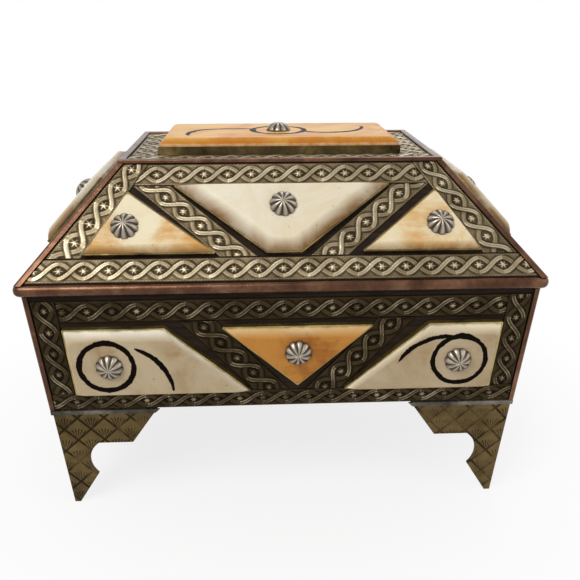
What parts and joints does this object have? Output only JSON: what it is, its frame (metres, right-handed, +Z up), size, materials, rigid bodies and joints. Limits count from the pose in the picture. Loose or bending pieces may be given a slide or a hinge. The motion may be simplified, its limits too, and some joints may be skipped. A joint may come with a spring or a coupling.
{
  "type": "inlaid wooden box",
  "caption": "Footed wooden casket with a hinged hipped lid, faced with embossed metal strips, copper edges and bevelled bone plaques pinned by domed nails.",
  "frame": {"origin": "centre of the footprint, on the table", "axes": "+X along the box's length to the right seen from the front, +Y to the back where the hinges are, +Z up"},
  "size_m": [0.1852, 0.1372, 0.1354],
  "materials": {
    "wood": "dark stained",
    "bone": "polished bone",
    "embossed_strip": "embossed, patinated",
    "nail_silver": "cast rosette",
    "copper": "aged copper",
    "brass_band": "aged brass",
    "foot_brass": "stamped sheet, aged",
    "hinge_brass": "aged brass",
    "solder": "dull solder"
  },
  "bodies": {
    "body": {"body_back_left_plaque": "bone", "body_back_middle_plaque": "bone", "body_back_right_plaque": "bone", "body_back_strips": "embossed_strip", "body_back_wall": "wood", "body_corner_copper": "copper", "body_floor": "wood", "body_front_left_plaque": "bone", "body_front_middle_plaque": "bone", "body_front_right_plaque": "bone", "body_front_strips": "embossed_strip", "body_front_wall": "wood", "body_left_plaque": "bone", "body_left_strips": "embossed_strip", "body_left_wall": "wood", "body_plaque_bands": "brass_band", "body_right_plaque": "bone", "body_right_strips": "embossed_strip", "body_right_wall": "wood", "body_rosette_nails": "nail_silver", "foot_back_left": "foot_brass", "foot_back_right": "foot_brass", "foot_front_left": "foot_brass", "foot_front_right": "foot_brass", "foot_solder_seams": "solder", "hinge_body_screws": "hinge_brass", "hinge_left_body_leaf": "hinge_brass", "hinge_pins": "hinge_brass", "hinge_right_body_leaf": "hinge_brass"},
    "lid": {"hinge_left_lid_leaf": "hinge_brass", "hinge_lid_screws": "hinge_brass", "hinge_right_lid_leaf": "hinge_brass", "lid_back_left_plaque": "bone", "lid_back_middle_plaque": "bone", "lid_back_panel": "wood", "lid_back_right_plaque": "bone", "lid_back_strips": "embossed_strip", "lid_copper_rim": "copper", "lid_crown_copper": "copper", "lid_frame_rails": "wood", "lid_front_left_plaque": "bone", "lid_front_middle_plaque": "bone", "lid_front_panel": "wood", "lid_front_right_plaque": "bone", "lid_front_strips": "embossed_strip", "lid_hip_copper": "copper", "lid_left_panel": "wood", "lid_left_plaque": "bone", "lid_left_strips": "embossed_strip", "lid_plaque_bands": "brass_band", "lid_right_panel": "wood", "lid_right_plaque": "bone", "lid_right_strips": "embossed_strip", "lid_rosette_nails": "nail_silver", "lid_top_board": "wood", "lid_top_plaque": "bone", "lid_top_strips": "embossed_strip"}
  },
  "joints": [
    {"name": "lid_hinge", "type": "hinge", "parent": "body", "child": "lid", "pos_m": [0, 0.0637, 0.0879], "axis": [-1, 0, 0], "range_deg": [0, 100]}
  ]
}
